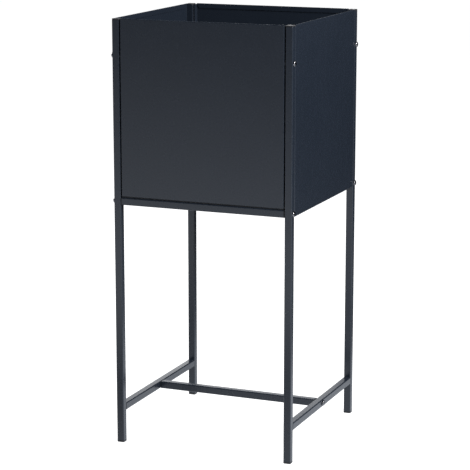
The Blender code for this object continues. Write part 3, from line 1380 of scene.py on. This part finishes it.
@dataclass
class Fastenings:
    """Bolts of both side frames, and the threaded pieces that they screw into.

    Args:
        palette: The finishes.
        bolt: The button-head bolt.
        nut: The rivet nut.
    """

    palette: Palette
    bolt: ButtonBolt = field(default_factory=ButtonBolt)
    nut: RivetNut = field(default_factory=RivetNut)

    def build(self) -> None:
        """Build the fastenings of all four corners and of the crossbar."""
        for side in Side:
            for end in End:
                corner = f"{end.label}_{side.label}"
                self.build_bolt(f"{corner}_upper_bolt", side)
                self.build_bolt(f"{corner}_lower_bolt", side)
                node = f"{corner}_upper_rivet_nut"
                hand_in(self.nut.set_in(node, side), self.palette.dull, node)
                self.dress(f"{corner}_lower_end_plug")
            self.build_bolt(f"{side.label}_crossbar_bolt", side)
            self.dress(f"{side.label}_crossbar_end_plug")

    def build_bolt(self, node: str, side: Side) -> None:
        """Build one bolt."""
        hand_in(self.bolt.turn_up(node, side), self.palette.steel, node)

    def dress(self, node: str) -> None:
        """Give a packed end plug, which sits inside its tube, its finish.

        Args:
            node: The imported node.
        """
        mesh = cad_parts[node].data
        mesh.materials.clear()
        mesh.materials.append(self.palette.dull)
        LOG.info("%s: kept, new finish", node)


@dataclass
class Crossbar:
    """Low bar between the middles of the two stretchers.

    Args:
        palette: The finishes.
        tube: Its stock.
    """

    palette: Palette
    tube: TubeStock = field(default_factory=TubeStock)

    def build(self) -> None:
        """Build the bar."""
        bar = self.tube.cut_to("crossbar", Turn.ALONG_X).to_object("crossbar_tube")
        hand_in(bar, self.palette.coat, "crossbar")


# Studio


def set_on_orbit(
    obj: bpy.types.Object, azimuth: float, elevation: float, distance: float, aim: Vector
) -> None:
    """Put a camera or a light in the scene, on an orbit round the planter and looking in.

    Args:
        obj: The camera or light.
        azimuth: Degrees round the planter from straight in front, towards the right.
        elevation: Degrees above the horizon.
        distance: Metres from the aim.
        aim: Where it looks, from the middle of the planter's box.
    """
    low, high = CAD_BOX
    turn, rise = math.radians(azimuth), math.radians(elevation)
    back = Vector(
        (math.sin(turn) * math.cos(rise), -math.cos(turn) * math.cos(rise), math.sin(rise))
    )
    obj.location = (low + high) / 2 + aim + back * distance
    obj.rotation_euler = (-back).to_track_quat("-Z", "Y").to_euler()
    bpy.context.scene.collection.objects.link(obj)


@dataclass
class Viewpoint:
    """Camera on an orbit round the planter.

    Args:
        azimuth: Degrees round the planter from straight in front, towards the right.
        elevation: Degrees above the horizon.
        distance: Metres from the aim.
        aim: Where it looks, from the middle of the planter's box.
        lens: Focal length in millimetres.
        sensor: Width of the sensor in millimetres.
    """

    azimuth: float = 22.328
    elevation: float = 11.958
    distance: float = 3.5901
    aim: Vector = field(default_factory=lambda: Vector((-0.0033, -0.0058, -0.0194)))
    lens: float = 144.77
    sensor: float = 36.0

    def set_up(self) -> None:
        """Put the camera in the scene."""
        data = bpy.data.cameras.new("camera")
        data.lens = self.lens
        data.sensor_width = self.sensor
        camera = bpy.data.objects.new("camera", data)
        set_on_orbit(camera, self.azimuth, self.elevation, self.distance, self.aim)
        bpy.context.scene.camera = camera


@dataclass
class Softbox:
    """Square area light that looks at the planter.

    Args:
        name: Name of the light.
        azimuth: Degrees round the planter, as for the camera.
        elevation: Degrees above the horizon.
        distance: Metres from the planter's middle.
        size: Side of the light.
        power: Power in watts.
    """

    name: str
    azimuth: float
    elevation: float
    distance: float
    size: float
    power: float

    def set_up(self) -> None:
        """Put the light in the scene."""
        data = bpy.data.lights.new(self.name, "AREA")
        data.size = self.size
        data.energy = self.power
        light = bpy.data.objects.new(self.name, data)
        light.visible_camera = False
        set_on_orbit(light, self.azimuth, self.elevation, self.distance, Vector())


@dataclass
class Studio:
    """Pale floor, soft surroundings, lights and camera.

    Args:
        floor_reach: Half the side of the floor.
        ambient: Brightness that the floor and the surroundings add all over the planter.
        tint: Colour of what the planter reflects.
        paper: Grey of the floor, which shadows darken.
        lift: Brightness that the floor has in itself.
        screen: Direction of the bright patch in the surroundings.
        lights: The softboxes.
        viewpoint: The camera.
    """

    floor_reach: float = 12.0
    ambient: float = 0.20
    tint: tuple = (0.91, 0.96, 1.04, 1)
    paper: tuple = (0.35, 0.35, 0.35, 1)
    lift: float = 0.95
    screen: tuple = (-0.45, 0.80, 0.40)
    lights: tuple = (
        Softbox("key", 71, 34, 2.6, 1.1, 84),
        Softbox("fill", 258, 30, 2.8, 0.8, 40),
        Softbox("back", 190, 50, 2.8, 0.5, 32),
        Softbox("card", 204, -4, 1.5, 0.65, 1.7),
    )
    viewpoint: Viewpoint = field(default_factory=Viewpoint)

    def set_up(self) -> None:
        """Build the studio."""
        view = bpy.context.scene.view_settings
        view.view_transform = "Standard"
        view.look = "None"
        self.lay_floor()
        self.paint_surroundings()
        for light in self.lights:
            light.set_up()
        self.viewpoint.set_up()

    def lay_floor(self) -> None:
        """Lay the floor: white to the camera, and a ring of light round the planter to the steel."""
        bm = bmesh.new()
        bmesh.ops.create_grid(bm, x_segments=1, y_segments=1, size=self.floor_reach)
        mesh = bpy.data.meshes.new("floor")
        bm.to_mesh(mesh)
        bm.free()
        floor = bpy.data.objects.new("floor", mesh)
        bpy.context.scene.collection.objects.link(floor)
        material = bpy.data.materials.new("pale_floor")
        material.use_nodes = True
        graph = Graph(material.node_tree)
        output = material.node_tree.nodes["Material Output"]
        material.node_tree.nodes.remove(material.node_tree.nodes["Principled BSDF"])
        spot = graph.add("TexCoord").outputs["Object"]
        paper = graph.add("BsdfDiffuse", {"Color": self.paper})
        lift = graph.add("Emission", {"Strength": self.lift})
        to_camera = graph.add("AddShader", {0: paper.outputs[0], 1: lift.outputs[0]})
        glow = self.spread_glow(graph, spot)
        graph.link(self.part_rays(graph, "Emission", glow, to_camera), output.inputs["Surface"])
        material.cycles.emission_sampling = "NONE"
        mesh.materials.append(material)

    def part_rays(
        self, graph: Graph, kind: str, glow: object, to_camera: bpy.types.Node
    ) -> bpy.types.NodeSocket:
        """Show one shader to the camera, a glow to reflections and the ambient light to the rest.

        Args:
            graph: The nodes of the floor or of the surroundings.
            kind: The type of shader that glows.
            glow: The socket with the glow's strength.
            to_camera: The shader that the camera sees.

        Returns:
            The socket with the shader for all rays.
        """
        path = graph.add("LightPath").outputs
        diffuse = path["Is Diffuse Ray"]
        glow = graph.span(diffuse, low=0.0, high=1.0, to_low=glow, to_high=self.ambient)
        to_steel = graph.add(kind, {"Color": self.tint, "Strength": glow})
        inputs = {0: path["Is Camera Ray"], 1: to_steel.outputs[0], 2: to_camera.outputs[0]}
        return graph.add("MixShader", inputs).outputs[0]

    def pool(self, graph: Graph, spot: object, centre: tuple, reach: tuple, glow: float) -> object:
        """Return a round pool of light that is full up to its first reach and gone at its second."""
        away = graph.add("VectorMath", {0: spot, 1: centre}, operation="DISTANCE").outputs["Value"]
        return graph.span(away, *reach, glow, 0.0)

    def towards(self, graph: Graph, heading: object, azimuth: float) -> bpy.types.NodeSocket:
        """Work out how nearly a heading on the floor points to an azimuth.

        Args:
            graph: The floor's nodes.
            heading: The socket with the heading.
            azimuth: Degrees round the planter, as for the camera.

        Returns:
            The socket with the share, 1 for straight at it.
        """
        turn = math.radians(azimuth)
        aim = (math.sin(turn), -math.cos(turn), 0)
        along = graph.add("VectorMath", {0: heading, 1: aim}, operation="DOT_PRODUCT")
        return along.outputs["Value"]

    def spread_glow(self, graph: Graph, spot: object) -> bpy.types.NodeSocket:
        """Work out how bright each spot of the floor looks in the steel.

        Args:
            graph: The floor's nodes.
            spot: The socket with the spot's place.

        Returns:
            A ring of light that is open towards the back right, and pools at the feet and far left.
        """
        away = graph.add("VectorMath", {0: spot}, operation="LENGTH").outputs["Value"]
        rising = graph.span(away, low=0.4, high=1.6, to_low=0.35, to_high=1.75)
        falling = graph.span(away, low=1.6, high=4.6, to_low=1.60, to_high=0.10)
        ring = graph.math("MINIMUM", rising, falling)
        heading = graph.add("VectorMath", {0: spot}, operation="NORMALIZE").outputs["Vector"]
        shade = graph.span(away, low=1.5, high=2.0, to_low=0.15, to_high=0.02)
        behind = self.towards(graph, heading, azimuth=158.0)
        opening = graph.span(behind, low=0.70, high=0.92, to_low=1.0, to_high=shade)
        ring = graph.math("MULTIPLY", ring, opening)
        feet = self.pool(graph, spot, centre=(0.15, 0.0, 0.0), reach=(0.25, 1.0), glow=1.1)
        far_left = self.pool(graph, spot, centre=(-2.5, -4.1, 0.0), reach=(0.6, 1.8), glow=1.0)
        return graph.math("ADD", graph.math("MAXIMUM", ring, feet), far_left)

    def paint_surroundings(self) -> None:
        """Surround the planter: white to the camera, and a bright patch high behind to the steel."""
        world = bpy.data.worlds.new("studio")
        world.use_nodes = True
        bpy.context.scene.world = world
        graph = Graph(world.node_tree)
        output = world.node_tree.nodes["World Output"]
        world.node_tree.nodes.remove(world.node_tree.nodes["Background"])
        direction = graph.add("TexCoord").outputs["Generated"]
        facing = graph.add("VectorMath", {0: direction, 1: self.screen}, operation="DOT_PRODUCT")
        along = facing.outputs["Value"]
        glow = graph.span(along, low=0.951, high=0.986, to_low=0.05, to_high=0.45)
        to_camera = graph.add("Background", {"Strength": 1.0, "Color": (1, 1, 1, 1)})
        graph.link(self.part_rays(graph, "Background", glow, to_camera), output.inputs["Surface"])
        world.cycles.sampling_method = "NONE"


def main() -> None:
    """Build the planter round its frame, and the studio that it stands in."""
    logging.basicConfig(level=logging.INFO, format="%(name)s: %(message)s")
    palette = Palette.mix()
    for side in Side:
        SideFrame(side, palette).build()
    for end in End:
        CrossMember(end, palette).build()
        ShadeStrip(end, palette).build()
    Crossbar(palette).build()
    FloorTray(palette).build()
    Fastenings(palette).build()
    Studio().set_up()


if __name__ == "__main__":
    main()
